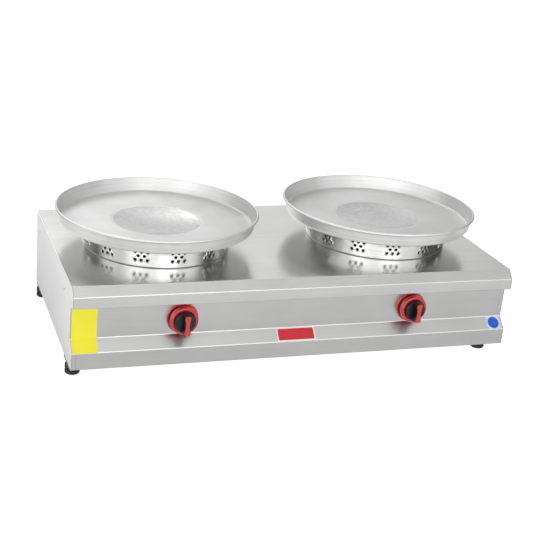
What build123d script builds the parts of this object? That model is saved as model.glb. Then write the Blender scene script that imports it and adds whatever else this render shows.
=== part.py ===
from build123d import *
import math
import os

# Countertop gas stove with two burners: a folded stainless body on four levelling feet, with a
# wide dished pan standing on a perforated ring over each burner. Millimetres, +Z up.
# The origin is under the middle of the whole object, on the surface that it stands on.

# Body
width = 1000.0
depth = 500.0  # front face of the lip to the back edge of the worktop
body_height = 178.5  # lower edge of the front panel to the worktop
sheet = 1.2
bend = 2.4  # outside radius of every fold
lip_chamfer = 18.2  # the worktop's front edge falls and runs out by this, at 45 degrees
lip_face = 25.2  # upright face of the lip
panel_setback = 23.3  # lip face back to the control panel
band_height = 37.3  # upright band along the foot of the front
panel_tuck = 12.0  # how far the control panel runs up behind the lip
panel_return = 20.0
rear_drop = 39.0  # the worktop's fold down over the back
rear_overhang = 3.5  # back edge of the worktop out from the back panel
side_flange = 46.0
worktop_flange = 55.0  # folded down inside each side panel, for the rivets
back_flange = 15.0

# Air slots: two rows behind each burner, and a block in the base plate under it
back_slots = 10
back_slot_width = 5.0
back_slot_height = 18.0
back_slot_pitch = 18.0
back_row_pitch = 26.0
back_slot_up = 74.5  # middle of both rows above the lower edge
base_slot_rows = 6
base_slot_columns = 3
base_slot_width = 7.0
base_slot_length = 44.0
base_slot_pitch = 30.0
base_column_pitch = 60.0

# Feet
foot_height = 32.0  # surface to the lower edge of the body
foot_radius = 16.0
foot_disc = 10.0
foot_neck = 3.0
foot_neck_radius = 10.0
foot_hex = 14.0  # apothem of the foot's hexagon
foot_hex_height = 10.0
foot_chamfer = 2.0
foot_inset = 20.0  # middle of each bracket's hole in from the side, but for the shift
foot_shift = -6.0  # all four brackets are alike, so their off-centre holes lie to the left
front_foot_back = 58.0  # foot's axis behind the lip face
rear_foot_in = 26.0  # foot's axis ahead of the back edge
foot_travel = 12.0
stud_radius = 4.0
stud_length = 34.0
stud_clear = 2.0  # round the stud in the side panel's flange
bracket_width = 40.0
bracket_length = 66.0
bracket_wall = 2.5
bracket_rear_gap = 4.0
nut_apothem = 6.5
nut_height = 5.0

# Rings and pans
burner_pitch = 538.0
ring_radius = 165.0
ring_wall = 1.5
ring_height = 51.0
ring_groups = 13
hole_size = 3.3  # corner radius of one perforation
hole_pitch = 13.1
row_pitch = 8.8
rows_up = 25.5  # middle row above the worktop
ring_turn_left = -86.9  # heading of one group of holes, from the +X axis
ring_turn_right = -100.1
tab_width = 20.0
tab_reach = 14.0
pan_radius = 226.5
pan_height = 33.0
pan_wall = 2.0
pan_lean = 15.5  # rim out from the edge of the flat floor
pan_floor_radius = pan_radius - pan_lean
pan_corner = 4.0
bead_radius = 3.0  # rim rolled over a wire
dish_radius = 100.0
dish_depth = 10.0
pan_lift = 120.0

# Burners
burner_hole_radius = 110.0
cap_below = 6.0  # burner cap's top under the worktop
cap_radius = 85.0
cap_height = 14.0
cap_plate = 4.0
cap_skirt = 7.0
cap_edge = 3.0  # bevel round the cap's top, down its side
cap_bevel = 5.0  # and in across its top
rim_in = 1.0  # bowl's rim inside the cap's edge
rim_width = 8.0
port_count = 30
port_width = 2.6
port_height = 6.0
bowl_height = 34.0
bowl_foot_radius = 58.0
casting = 4.0
pad_height = 4.0
pad_radius = 9.0
pad_spread = 38.0  # burner's axis out to a fixing pad
venturi_radius = 16.0
bell_radius = 22.0
bell_length = 18.0
rail_width = 44.0
rail_depth = 15.0
rail_wall = 2.0
bolt_radius = 3.0
bolt_length = 9.0
bolt_head_radius = 5.1
bolt_blind = 1.0  # metal left over each bolt's hole

# Gas train
tap_inset = 5.0  # each tap's axis in from its burner's, towards the middle
knob_pitch = burner_pitch - 2 * tap_inset
knob_height = 95.8  # above the lower edge of the body
manifold_radius = 8.6
manifold_wall = 2.0
manifold_drop = 32.0  # tap's axis down to the manifold's
manifold_end = 36.0  # past the left tap
end_plug_hex = 10.6
end_plug_length = 8.0
boss_radius = 11.5
boss_height = 16.0
inlet_from_side = 70.0
inlet_thread_radius = 10.48
inlet_body_radius = 12.0  # through the back panel and the nut
inlet_bore = 7.0
inlet_reach = 25.0  # out of the back panel
inlet_inside = 30.0
inlet_socket = 10.0  # manifold's end sits this deep in the fitting
inlet_hex = 16.0
inlet_hex_height = 8.0
inlet_shoulder = 1.0  # body past the nut
pipe_bend = 40.0
tap_radius = 11.0
tap_length = 42.0
tap_gap = 4.0  # back of the control panel to the tap
tap_nose_radius = 8.0
tap_nose_clear = 1.0  # round the nose in the control panel
tap_nose_proud = 1.0
tap_wall = 3.0  # in front of the plug
tap_stub_radius = 8.0
tap_stub_length = 5.0
plug_radius = 7.0
plug_length = 24.0
plug_socket = 12.0
spindle_radius = 4.0
spindle_spare = 1.0  # left under the spindle when the knob is pushed in
outlet_back = 14.0  # outlet behind the tap's middle
outlet_hex = 7.0
outlet_rise = 8.0  # over the tap
injector_hex = 7.0
injector_length = 24.0
neck_radius = 5.0
holder_stub = 8.0  # socket for the pipe, under the holder
yoke_plate = 4.0
yoke_height = 18.0
yoke_arm = 4.0
yoke_arm_height = 12.0
yoke_lap = 2.0  # arms run this far over the bell
nozzle_length = 8.0
nozzle_gap = 4.0
nozzle_hex = 7.0
nozzle_bore = 1.2
pipe_radius = 4.0
probe_radius = 3.0
probe_length = 40.0
probe_out = 4.0  # clear of the burner cap's edge
probe_circle = cap_radius + probe_out + probe_radius
lug_down = 12.0  # lug for the probe under the bowl's rim
lug_root = 70.0
lug_width = 14.0
lead_radius = 1.3
lead_bend = 5.0

# Knobs
bezel_radius = 34.0
bezel_thickness = 3.0
bezel_bore = 10.0
knob_gap = 6.5  # must stay more than the push
push_travel = 3.5
skirt_radius = 30.5
skirt_height = 11.5
knob_wall = 2.5
cap_radius_front = 22.5
cap_flare = 1.0  # wider where it leaves the skirt
cap_rise = 8.0
cap_seat = 2.0  # sunk into the skirt
ridge_width = 16.0
ridge_height = 15.4
ridge_lean = 4.0  # degrees
pointer_width = 12.5
waist_radius = 60.0  # hollow down each side of the ridge and of the pointer
waist_depth = 2.0
pointer_proud = 0.6
pointer_inlay = 1.5
hub_radius = 8.0
hub_back = 1.0  # hub ends this far inside the skirt's edge
spindle_cover = 1.0  # skirt left over the spindle's end
knob_chamfer = 1.5

# Clearances
running = 0.06  # a shaft in its bore, on the radius
clear = 0.3
hole_clear = 0.25  # a screw in its hole, on the radius

# Fastenings
rivet_radius = 2.0
rivet_head = 3.6
rivet_head_height = 1.3
rivet_down = 40.0  # under the worktop
front_rivet_back = 101.0
rear_rivet_in = 50.0
screw_tail = 3.0  # past the last sheet
base_lap = 12.0  # base plate over each side flange
base_screw_pitch = 130.0

# Levels and lines that follow from the sizes
body_z = foot_height
worktop_z = body_z + body_height
lip_z = worktop_z - lip_chamfer - lip_face
band_z = body_z + band_height
slope_z = band_z + panel_setback
knob_z = body_z + knob_height
knob_back = bezel_thickness + knob_gap
shoulder = knob_back + skirt_height
cap_back = shoulder - cap_seat
face = shoulder + cap_rise
ridge = face + ridge_height
knob_reach = ridge + pointer_proud
pointer_reach = cap_radius_front - clear - ridge_height * math.tan(math.radians(ridge_lean))
lip_y = -(depth + (inlet_reach - rear_overhang) - (knob_reach - panel_setback)) / 2
edge_y = lip_y + lip_chamfer
panel_y = lip_y + panel_setback
back_y = lip_y + depth
rear_y = back_y - rear_overhang
burner_y = (edge_y + back_y) / 2
half_inside = width / 2 - sheet
inlet_x = width / 2 - inlet_from_side
ring_z = worktop_z + ring_height
cap_z = worktop_z - cap_below
rim_z = cap_z - cap_height
bowl_z = rim_z - bowl_height
rail_z = bowl_z - pad_height
venturi_z = bowl_z + bowl_height / 2
tap_front = panel_y + sheet + tap_gap
tap_mid = tap_front + tap_length / 2
manifold_z = knob_z - manifold_drop
outlet_y = tap_mid + outlet_back
holder_end = outlet_y + injector_length / 2
bell_y = holder_end + yoke_plate + nozzle_length + nozzle_gap
foot_drop = foot_height - foot_disc - foot_neck - foot_hex_height  # bracket under the body
foot_places = {
    f"{row}_{side}": (s * (width / 2 - foot_inset) + foot_shift, y)
    for row, y in (("front", lip_y + front_foot_back), ("rear", back_y - rear_foot_in))
    for side, s in (("left", -1), ("right", 1))
}
pairs = (("left", -1), ("right", 1))

os.makedirs("parts", exist_ok=True)


def write(part, name):
    part.label = name
    export_step(part, f"parts/{name}.step")


def upright(x, y, z=0.0):
    """Section plane through a vertical axis: first coordinate outwards, second up."""
    return Plane(origin=(x, y, z), x_dir=(1, 0, 0), z_dir=(0, -1, 0))


def forward(x, y, z):
    """Section plane through an axis that points out of the front: radius, then distance out."""
    return Plane(origin=(x, y, z), x_dir=(1, 0, 0), z_dir=(0, 0, -1))


def facing(x, y, z):
    """Plane that faces out of the front, with its second coordinate up."""
    return Plane(origin=(x, y, z), x_dir=(1, 0, 0), z_dir=(0, -1, 0))


# Where the fastenings go: rivets by (y, z) on both sides, screws by (x, y)
rivet_places = [
    (lip_y + front_rivet_back, worktop_z - rivet_down),
    (back_y - rear_rivet_in, worktop_z - rivet_down),
]
tab_circle = ring_radius - ring_wall - tab_reach / 2
ring_screw_places = [
    (
        s * burner_pitch / 2 + (tab_circle - 1) * math.cos(math.radians(45 + 90 * k)),
        burner_y + (tab_circle - 1) * math.sin(math.radians(45 + 90 * k)),
    )
    for _, s in pairs
    for k in range(4)
]
base_screw_places = [
    (s * (half_inside - side_flange + base_lap / 2), (lip_y + back_y) / 2 + k * base_screw_pitch)
    for _, s in pairs
    for k in (-1, 0, 1)
]

# The folded outlines, from outside. The side panels follow the same points.
worktop_line = [
    (back_y, worktop_z - rear_drop),
    (back_y, worktop_z),
    (edge_y, worktop_z),
    (lip_y, worktop_z - lip_chamfer),
    (lip_y, lip_z),
]
panel_line = [
    (panel_y, slope_z),
    (lip_y, band_z),
    (lip_y, body_z),
]

# Worktop: one sheet with the lip folded along its front, a drop along its back and a flange
# down inside each side panel
with BuildPart() as worktop:
    with BuildSketch(Plane.YZ.offset(-half_inside)):
        with BuildLine():
            outside = FilletPolyline(*worktop_line, (panel_y, lip_z), radius=bend)
            offset(outside, amount=sheet, side=Side.LEFT)
        make_face()
    extrude(amount=2 * half_inside)
    flange_start = panel_y + 2 * sheet
    flange_length = rear_y - back_flange - sheet - flange_start
    flange_x = half_inside - sheet / 2
    with Locations(*((s * flange_x, flange_start, worktop_z - sheet) for _, s in pairs)):
        Box(sheet, flange_length, worktop_flange - sheet, align=(Align.CENTER, Align.MIN, Align.MAX))
    with BuildSketch(Plane.XY.offset(worktop_z)):
        with Locations(*((s * burner_pitch / 2, burner_y) for _, s in pairs)):
            Circle(burner_hole_radius)
        with Locations(*ring_screw_places):
            RegularPolygon(rivet_radius + hole_clear, 6)
    extrude(amount=-2 * sheet, mode=Mode.SUBTRACT)
    for _, s in pairs:
        with BuildSketch(Plane.YZ.offset(s * half_inside)):
            with Locations(*rivet_places):
                Circle(rivet_radius + hole_clear)
        extrude(amount=-s * sheet, mode=Mode.SUBTRACT)
write(worktop.part, "worktop")

# Side panels: flat sheets cut to the whole outline, with a flange along the foot
for side, s in pairs:
    with BuildPart() as side_panel:
        with BuildSketch(Plane.YZ.offset(s * half_inside)):
            with BuildLine():
                FilletPolyline(
                    (rear_y, body_z),
                    (rear_y, worktop_z - rear_drop),
                    *worktop_line,
                    (panel_y, lip_z),
                    *panel_line,
                    radius=bend / 2,
                    close=True,
                )
            make_face()
        extrude(amount=s * sheet)
        start = lip_y + panel_return + clear
        stop = rear_y - back_flange - clear
        with BuildSketch(Plane.XY.offset(body_z)):
            with Locations((s * (half_inside - side_flange / 2), (start + stop) / 2)):
                Rectangle(side_flange, stop - start)
            with Locations(*((x, y) for x, y in foot_places.values() if x * s > 0)):
                RegularPolygon(stud_radius + stud_clear, 6, mode=Mode.SUBTRACT)
            with Locations(*((x, y) for x, y in base_screw_places if x * s > 0)):
                RegularPolygon(rivet_radius + hole_clear, 6, mode=Mode.SUBTRACT)
        extrude(amount=sheet)
        with BuildSketch(Plane.YZ.offset(s * width / 2)):
            with Locations(*rivet_places):
                Circle(rivet_radius + hole_clear)
        extrude(amount=-s * sheet, mode=Mode.SUBTRACT)
    write(side_panel.part, f"side_panel_{side}")

# Front panel: set back behind the lip, then out at 45 degrees to the band along its foot
with BuildPart() as front_panel:
    with BuildSketch(Plane.YZ.offset(-half_inside)):
        with BuildLine():
            outside = FilletPolyline(
                (panel_y, lip_z + panel_tuck),
                *panel_line,
                (lip_y + panel_return, body_z),
                radius=bend,
            )
            offset(outside, amount=sheet, side=Side.LEFT)
        make_face()
    extrude(amount=2 * half_inside)
    with BuildSketch(facing(0, panel_y, knob_z)):
        with Locations(*((s * knob_pitch / 2, 0) for _, s in pairs)):
            Circle(tap_nose_radius + tap_nose_clear)
    extrude(amount=-2 * sheet, mode=Mode.SUBTRACT)
write(front_panel.part, "front_panel")

# Back panel: a shallow tray, open to the front, with two rows of air slots and the gas inlet
back_height = body_height - sheet
with BuildPart() as back_panel:
    with Locations((0, rear_y, body_z)):
        Box(2 * half_inside, back_flange, back_height, align=(Align.CENTER, Align.MAX, Align.MIN))
    offset(amount=-sheet, openings=back_panel.faces().sort_by(Axis.Y)[0])
    with BuildSketch(Plane(origin=(0, rear_y, body_z), x_dir=(-1, 0, 0), z_dir=(0, 1, 0))):
        with Locations(*((s * burner_pitch / 2, back_slot_up) for _, s in pairs)):
            with GridLocations(back_slot_pitch, back_row_pitch, back_slots, 2):
                Rectangle(back_slot_width, back_slot_height)
        with Locations((-inlet_x, manifold_z - body_z)):
            Circle(inlet_body_radius + hole_clear)
    extrude(amount=-sheet, mode=Mode.SUBTRACT)
write(back_panel.part, "back_panel")

# Base plate: lies on the flanges and closes the body underneath, with air slots under each burner
base_half = half_inside - side_flange + base_lap
base_front = lip_y + bend + clear
base_back = rear_y - sheet - clear
with BuildPart() as base_plate:
    with BuildSketch(Plane.XY.offset(body_z + sheet)):
        with Locations((0, (base_front + base_back) / 2)):
            Rectangle(2 * base_half, base_back - base_front)
        with Locations(*((s * burner_pitch / 2, burner_y) for _, s in pairs)):
            with GridLocations(base_column_pitch, base_slot_pitch, base_slot_columns, base_slot_rows):
                Rectangle(base_slot_length, base_slot_width, mode=Mode.SUBTRACT)
        with Locations(*base_screw_places):
            RegularPolygon(rivet_radius + hole_clear, 6, mode=Mode.SUBTRACT)
    extrude(amount=sheet)
write(base_plate.part, "base_plate")

# Rail across the body, under the worktop's side flanges: carries both burners
with BuildPart() as cross_rail:
    with BuildSketch(Plane.YZ.offset(-half_inside)):
        with Locations((burner_y, rail_z)):
            Rectangle(rail_width, rail_depth, align=(Align.CENTER, Align.MAX))
        with Locations((burner_y, rail_z - rail_wall)):
            Rectangle(
                rail_width - 2 * rail_wall,
                rail_depth,
                align=(Align.CENTER, Align.MAX),
                mode=Mode.SUBTRACT,
            )
    extrude(amount=2 * half_inside)
    with BuildSketch(Plane.XY.offset(rail_z)):
        with Locations(
            *((s * burner_pitch / 2 + e * pad_spread, burner_y) for _, s in pairs for _, e in pairs)
        ):
            Circle(bolt_radius + hole_clear)
    extrude(amount=-rail_wall, mode=Mode.SUBTRACT)
write(cross_rail.part, "cross_rail")

# Feet: a moulded disc, a neck and a hexagon on a steel stud, screwed into a nut on a pressed
# bracket at each corner of the body
bracket_z = body_z - foot_drop
hex_z = foot_disc + foot_neck
with BuildPart() as foot_brackets:
    for x, y in foot_places.values():
        middle = max(min(y, rear_y - bracket_rear_gap - bracket_length / 2), y - bracket_length / 2)
        corner = math.copysign(half_inside - bracket_width / 2, x)
        with BuildSketch(Plane.XZ.offset(-middle - bracket_length / 2)):
            with Locations((corner, bracket_z)):
                Rectangle(bracket_width, foot_drop, align=(Align.CENTER, Align.MIN))
            with Locations((corner, bracket_z + bracket_wall)):
                Rectangle(
                    bracket_width - 2 * bracket_wall,
                    foot_drop,
                    align=(Align.CENTER, Align.MIN),
                    mode=Mode.SUBTRACT,
                )
        extrude(amount=bracket_length)
    with BuildSketch(Plane.XY.offset(bracket_z)):
        with Locations(*foot_places.values()):
            Circle(stud_radius + hole_clear)
    extrude(amount=bracket_wall, mode=Mode.SUBTRACT)
write(foot_brackets.part, "foot_brackets")

with BuildPart() as foot_nuts:
    with BuildSketch(Plane.XY.offset(bracket_z + bracket_wall)):
        with Locations(*foot_places.values()):
            RegularPolygon(nut_apothem, 6, major_radius=False)
            Circle(stud_radius + running, mode=Mode.SUBTRACT)
    extrude(amount=nut_height)
write(foot_nuts.part, "foot_nuts")

for place, (x, y) in foot_places.items():
    with BuildPart() as foot:
        with BuildSketch(upright(x, y)):
            with BuildLine():
                Polyline(
                    (0, 0),
                    (foot_radius - foot_chamfer, 0),
                    (foot_radius, foot_chamfer),
                    (foot_radius, foot_disc - foot_chamfer),
                    (foot_radius - foot_chamfer, foot_disc),
                    (foot_neck_radius, foot_disc),
                    (foot_neck_radius, hex_z),
                    (0, hex_z),
                    close=True,
                )
            make_face()
        revolve(axis=Axis((x, y, 0), (0, 0, 1)))
        with BuildSketch(Plane.XY.offset(hex_z)):
            with Locations((x, y)):
                RegularPolygon(foot_hex, 6, major_radius=False)
        extrude(amount=foot_hex_height)
        with BuildSketch(Plane.XY.offset(bracket_z)):
            with Locations((x, y)):
                Circle(stud_radius)
        extrude(amount=-foot_hex_height, mode=Mode.SUBTRACT)
    write(foot.part, f"foot_{place}")

    with BuildPart() as stud:
        with Locations((x, y, bracket_z - foot_hex_height)):
            Cylinder(stud_radius, stud_length, align=(Align.CENTER, Align.CENTER, Align.MIN))
    write(stud.part, f"stud_{place}")

# Perforated rings: rolled strips with groups of eight holes, on four tabs turned in at the foot
for side, s in pairs:
    x = s * burner_pitch / 2
    turn = ring_turn_left if s < 0 else ring_turn_right
    headings = [math.radians(turn + 360 * group / ring_groups) for group in range(ring_groups)]
    group_planes = [
        Plane(
            origin=(
                x + (ring_radius + clear) * math.cos(h),
                burner_y + (ring_radius + clear) * math.sin(h),
                worktop_z + rows_up,
            ),
            x_dir=(-math.sin(h), math.cos(h), 0),
            z_dir=(math.cos(h), math.sin(h), 0),
        )
        for h in headings
    ]
    with BuildPart() as ring:
        with BuildSketch(Plane.XY.offset(worktop_z)):
            with Locations((x, burner_y)):
                Circle(ring_radius)
                Circle(ring_radius - ring_wall, mode=Mode.SUBTRACT)
        extrude(amount=ring_height)
        with BuildSketch(Plane.XY.offset(worktop_z)):
            with Locations((x, burner_y)):
                with PolarLocations(tab_circle + 0.5, 4, start_angle=45):
                    Rectangle(tab_reach, tab_width)
            with Locations(*((u, v) for u, v in ring_screw_places if u * s > 0)):
                RegularPolygon(rivet_radius + hole_clear, 6, mode=Mode.SUBTRACT)
        extrude(amount=ring_wall)
        with BuildSketch(*group_planes):
            with Locations((0, row_pitch), (0, -row_pitch)):
                with GridLocations(hole_pitch, 1, 3, 1):
                    RegularPolygon(hole_size, 6)
            with GridLocations(hole_pitch, 1, 2, 1):
                RegularPolygon(hole_size, 6)
        extrude(amount=-ring_wall - hole_pitch / 2, mode=Mode.SUBTRACT)
    write(ring.part, f"ring_{side}")

# Pans: spun aluminium with a leaning wall, a rolled bead and a dished centre
bead_x = pan_radius - bead_radius
bead_z = pan_height - bead_radius
for side, s in pairs:
    x = s * burner_pitch / 2
    with BuildPart() as pan:
        with BuildSketch(upright(x, burner_y, ring_z)):
            with BuildLine():
                TangentArc((0, -dish_depth), (dish_radius, 0), tangent=(1, 0))
                Polyline(
                    (dish_radius, 0),
                    (pan_floor_radius, 0),
                    (pan_floor_radius + pan_corner, pan_corner),
                    (bead_x, bead_z),
                    (bead_x - pan_wall, bead_z),
                    (pan_floor_radius + pan_corner - pan_wall, pan_corner + pan_wall / 2),
                    (pan_floor_radius - pan_wall / 2, pan_wall),
                    (dish_radius, pan_wall),
                )
                TangentArc((0, pan_wall - dish_depth), (dish_radius, pan_wall), tangent=(1, 0))
                Line((0, pan_wall - dish_depth), (0, -dish_depth))
            make_face()
            with Locations((bead_x, bead_z)):
                Circle(bead_radius)
        revolve(axis=Axis((x, burner_y, 0), (0, 0, 1)))
    write(pan.part, f"pan_{side}")

# Burners: a cast bowl with its mixing tube and injector yoke, closed by a slotted cap
for side, s in pairs:
    x = s * burner_pitch / 2
    axis = Axis((x, burner_y, 0), (0, 0, 1))
    tube_length = burner_y - bell_y
    with BuildPart() as burner_body:
        with BuildSketch(upright(x, burner_y)):
            with BuildLine():
                Polyline(
                    (0, bowl_z),
                    (bowl_foot_radius, bowl_z),
                    (cap_radius - rim_in, rim_z),
                    (0, rim_z),
                    close=True,
                )
            make_face()
        revolve(axis=axis)
        with BuildSketch(Plane(origin=(x, bell_y, venturi_z), x_dir=(1, 0, 0), z_dir=(0, 1, 0))):
            Circle(venturi_radius)
        extrude(amount=tube_length - bowl_foot_radius)
        with BuildSketch(forward(x, bell_y + bell_length, venturi_z)):
            with BuildLine():
                Polyline(
                    (0, 0),
                    (venturi_radius, 0),
                    (bell_radius, bell_length - casting),
                    (bell_radius, bell_length),
                    (0, bell_length),
                    close=True,
                )
            make_face()
        revolve(axis=Axis((x, bell_y, venturi_z), (0, 1, 0)))
        with BuildSketch(upright(x, burner_y)):
            with BuildLine():
                Polyline(
                    (0, bowl_z + casting),
                    (bowl_foot_radius - casting, bowl_z + casting),
                    (cap_radius - rim_in - rim_width, rim_z),
                    (0, rim_z),
                    close=True,
                )
            make_face()
        revolve(axis=axis, mode=Mode.SUBTRACT)
        with BuildSketch(Plane(origin=(x, bell_y, venturi_z), x_dir=(1, 0, 0), z_dir=(0, 1, 0))):
            Circle(venturi_radius - casting)
        extrude(amount=tube_length - casting, mode=Mode.SUBTRACT)
        with BuildSketch(forward(x, bell_y + bell_length, venturi_z)):
            with BuildLine():
                Polyline(
                    (0, 0),
                    (venturi_radius - casting, 0),
                    (bell_radius - casting, bell_length),
                    (0, bell_length),
                    close=True,
                )
            make_face()
        revolve(axis=Axis((x, bell_y, venturi_z), (0, 1, 0)), mode=Mode.SUBTRACT)
        arm_length = bell_y - holder_end + yoke_lap
        with Locations(*((x + e * (bell_radius - yoke_arm / 2), holder_end, venturi_z) for _, e in pairs)):
            Box(yoke_arm, arm_length, yoke_arm_height, align=(Align.CENTER, Align.MIN, Align.CENTER))
        with Locations((x, holder_end, venturi_z)):
            Box(2 * bell_radius, yoke_plate, yoke_height, align=(Align.CENTER, Align.MIN, Align.CENTER))
        with BuildSketch(Plane(origin=(x, holder_end, venturi_z), x_dir=(1, 0, 0), z_dir=(0, 1, 0))):
            Circle(neck_radius + running)
        extrude(amount=yoke_plate, mode=Mode.SUBTRACT)
        with BuildSketch(Plane.XY.offset(rail_z)):
            with Locations(*((x + e * pad_spread, burner_y) for _, e in pairs)):
                Circle(pad_radius)
        extrude(amount=pad_height + casting)
        with BuildSketch(Plane.XY.offset(rail_z)):
            with Locations(*((x + e * pad_spread, burner_y) for _, e in pairs)):
                Circle(bolt_radius + running)
        extrude(amount=pad_height + casting - bolt_blind, mode=Mode.SUBTRACT)
        # Lug that holds the thermocouple's probe beside the cap
        with BuildSketch(Plane.XY.offset(rim_z - lug_down)):
            with Locations((x - s * (probe_circle + probe_radius), burner_y)):
                Rectangle(
                    probe_circle - lug_root, lug_width, align=(Align.MAX if s < 0 else Align.MIN, Align.CENTER)
                )
            with Locations((x - s * probe_circle, burner_y)):
                Circle(probe_radius + running, mode=Mode.SUBTRACT)
        extrude(amount=casting)
    write(burner_body.part, f"burner_body_{side}")

    with BuildPart() as burner_cap:
        with BuildSketch(upright(x, burner_y)):
            with BuildLine():
                Polyline(
                    (0, cap_z - cap_plate),
                    (cap_radius - cap_skirt, cap_z - cap_plate),
                    (cap_radius - cap_skirt, rim_z),
                    (cap_radius, rim_z),
                    (cap_radius, cap_z - cap_edge),
                    (cap_radius - cap_bevel, cap_z),
                    (0, cap_z),
                    close=True,
                )
            make_face()
        revolve(axis=axis)
        with BuildSketch(Plane.XY.offset(rim_z)):
            with Locations((x, burner_y)):
                with PolarLocations(cap_radius - cap_skirt / 2, port_count):
                    Rectangle(1.5 * cap_skirt, port_width)
        extrude(amount=port_height, mode=Mode.SUBTRACT)
    write(burner_cap.part, f"burner_cap_{side}")

with BuildPart() as burner_bolts:
    with BuildSketch(Plane.XY.offset(rail_z - rail_wall)):
        with Locations(
            *((s * burner_pitch / 2 + e * pad_spread, burner_y) for _, s in pairs for _, e in pairs)
        ):
            RegularPolygon(bolt_head_radius, 6)
    extrude(amount=-bolt_radius)
    with BuildSketch(Plane.XY.offset(rail_z - rail_wall)):
        with Locations(
            *((s * burner_pitch / 2 + e * pad_spread, burner_y) for _, s in pairs for _, e in pairs)
        ):
            Circle(bolt_radius)
    extrude(amount=bolt_length)
write(burner_bolts.part, "burner_bolts")

# Gas taps: a turned body on the manifold, a plug that turns in it, and a spindle that turns the
# plug and slides in it
for side, s in pairs:
    x = s * knob_pitch / 2
    burner_x = s * burner_pitch / 2
    spindle_axis = Axis((x, panel_y, knob_z), (0, -1, 0))
    nose = tap_gap + sheet + tap_nose_proud
    plug_front = tap_front + tap_wall
    socket_end = plug_front + plug_socket
    with BuildPart() as tap_body:
        with BuildSketch(facing(x, tap_front + tap_length, knob_z)):
            Circle(tap_radius)
        extrude(amount=tap_length)
        with BuildSketch(facing(x, tap_front, knob_z)):
            Circle(tap_nose_radius)
        extrude(amount=nose)
        with BuildSketch(Plane(origin=(x, tap_mid, manifold_z + boss_height))):
            RegularPolygon(boss_radius, 6, major_radius=False)
        extrude(amount=manifold_drop - boss_height - tap_radius * 0.5)
        with BuildSketch(Plane(origin=(x, tap_mid, manifold_z + boss_height))):
            Circle(tap_stub_radius)
        extrude(amount=-tap_stub_length)
        with BuildSketch(Plane(origin=(x, outlet_y, knob_z))):
            RegularPolygon(outlet_hex, 6, major_radius=False)
        extrude(amount=tap_radius + outlet_rise)
        with BuildSketch(facing(x, plug_front + plug_length, knob_z)):
            Circle(plug_radius + running)
        extrude(amount=plug_length, mode=Mode.SUBTRACT)
        with BuildSketch(facing(x, plug_front, knob_z)):
            Circle(spindle_radius + running)
        extrude(amount=nose + tap_wall, mode=Mode.SUBTRACT)
    write(tap_body.part, f"tap_body_{side}")

    with BuildPart() as valve_plug:
        with BuildSketch(facing(x, plug_front + plug_length - clear, knob_z)):
            Circle(plug_radius)
        extrude(amount=plug_length - 2 * clear)
        with BuildSketch(facing(x, socket_end, knob_z)):
            Circle(spindle_radius + running)
        extrude(amount=plug_socket, mode=Mode.SUBTRACT)
    write(valve_plug.part, f"valve_plug_{side}")

    with BuildPart() as spindle:
        spindle_end = socket_end - push_travel - spindle_spare
        with BuildSketch(facing(x, spindle_end, knob_z)):
            Circle(spindle_radius)
        extrude(amount=spindle_end - (panel_y - cap_back + spindle_cover))
    write(spindle.part, f"spindle_{side}")

    # Knob: a red moulded skirt round a hub, a black cap with a grip ridge and a red pointer in it
    with BuildPart() as knob_skirt:
        with BuildSketch(forward(x, panel_y, knob_z)):
            with BuildLine():
                Polyline(
                    (skirt_radius - knob_wall, knob_back),
                    (skirt_radius, knob_back),
                    (skirt_radius, shoulder - knob_chamfer),
                    (skirt_radius - knob_chamfer, shoulder),
                    (cap_radius_front + cap_flare + clear, shoulder),
                    (cap_radius_front + cap_flare + clear, cap_back),
                    (0, cap_back),
                    (0, knob_back + hub_back),
                    (hub_radius, knob_back + hub_back),
                    (hub_radius, cap_back - knob_wall),
                    (skirt_radius - knob_wall, cap_back - knob_wall),
                    close=True,
                )
            make_face()
        revolve(axis=spindle_axis)
        with BuildSketch(facing(x, panel_y, knob_z)):
            Circle(spindle_radius)
        extrude(amount=cap_back - spindle_cover, mode=Mode.SUBTRACT)
    write(knob_skirt.part, f"knob_skirt_{side}")

    with BuildPart() as knob_cap:
        with BuildSketch(forward(x, panel_y, knob_z)):
            with BuildLine():
                Polyline(
                    (0, cap_back),
                    (cap_radius_front + cap_flare, cap_back),
                    (cap_radius_front, face - 1),
                    (cap_radius_front - 1, face),
                    (0, face),
                    close=True,
                )
            make_face()
        revolve(axis=spindle_axis)
        with BuildSketch(facing(x, panel_y - face + 1, knob_z)):
            Circle(cap_radius_front)
            Rectangle(ridge_width, 2 * cap_radius_front, mode=Mode.INTERSECT)
            with Locations(*((e * (ridge_width / 2 + waist_radius - waist_depth), 0) for _, e in pairs)):
                Circle(waist_radius, mode=Mode.SUBTRACT)
        extrude(amount=ridge_height + 1, taper=ridge_lean)
        with BuildSketch(facing(x, panel_y - ridge + pointer_inlay, knob_z)):
            Rectangle(pointer_width, 2 * cap_radius_front)
            with Locations(*((e * (pointer_width / 2 + waist_radius - waist_depth), 0) for _, e in pairs)):
                Circle(waist_radius, mode=Mode.SUBTRACT)
        extrude(amount=pointer_inlay + 1, mode=Mode.SUBTRACT)
    write(knob_cap.part, f"knob_cap_{side}")

    with BuildPart() as knob_pointer:
        with BuildSketch(facing(x, panel_y - ridge + pointer_inlay, knob_z)):
            Circle(pointer_reach)
            Rectangle(pointer_width, 2 * cap_radius_front, mode=Mode.INTERSECT)
            with Locations(*((e * (pointer_width / 2 + waist_radius - waist_depth), 0) for _, e in pairs)):
                Circle(waist_radius, mode=Mode.SUBTRACT)
        extrude(amount=pointer_inlay + pointer_proud)
    write(knob_pointer.part, f"knob_pointer_{side}")

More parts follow.
